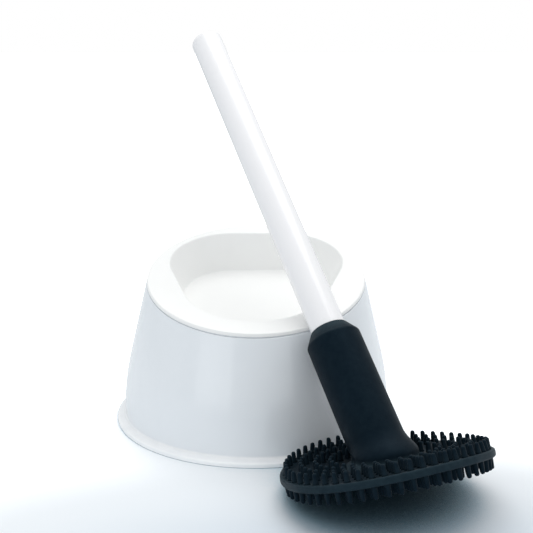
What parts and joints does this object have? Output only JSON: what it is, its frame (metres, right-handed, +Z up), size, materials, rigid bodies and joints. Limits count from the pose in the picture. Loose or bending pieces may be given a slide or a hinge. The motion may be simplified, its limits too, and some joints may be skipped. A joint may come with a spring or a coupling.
{
  "type": "toilet plunger with caddy",
  "caption": "Toilet plunger with a round handle and a flexible studded rubber disc, leaning on its bell-shaped caddy with a shallow sloping well.",
  "frame": {"origin": "centre of the whole set's footprint, at floor level, with the plunger leaning on the caddy", "axes": "+Z up; -Y towards the caddy's low front edge, the side on which the plunger's head stands; +X to the right seen from the front"},
  "size_m": [0.2471, 0.3112, 0.2767],
  "materials": {
    "shell_plastic": "glossy white moulding",
    "insert_plastic": "satin white moulding",
    "handle_plastic": "glossy white tube",
    "stiff_plastic": "plain moulding, hidden",
    "head_rubber": "matte, blue-black"
  },
  "bodies": {
    "caddy": {"caddy_shell": "shell_plastic", "caddy_insert": "insert_plastic"},
    "plunger": {"handle_tube": "handle_plastic", "handle_plug": "stiff_plastic", "head_socket": "stiff_plastic", "rubber_sleeve": "head_rubber", "rubber_neck": "head_rubber"},
    "disc": {"rubber_disc": "head_rubber"}
  },
  "joints": [
    {"name": "plunger_lift", "type": "slide", "parent": "caddy", "child": "plunger", "axis": [0, 0, 1], "range_m": [0, 0.16]},
    {"name": "disc_flex", "type": "hinge", "parent": "plunger", "child": "disc", "pos_m": [0.059, -0.0932, 0.0212], "axis": [-0.8805, -0.4741, 0], "range_deg": [-6, 56], "stiffness_Nm_per_rad": 0.5, "deforming": ["rubber_neck"]}
  ]
}
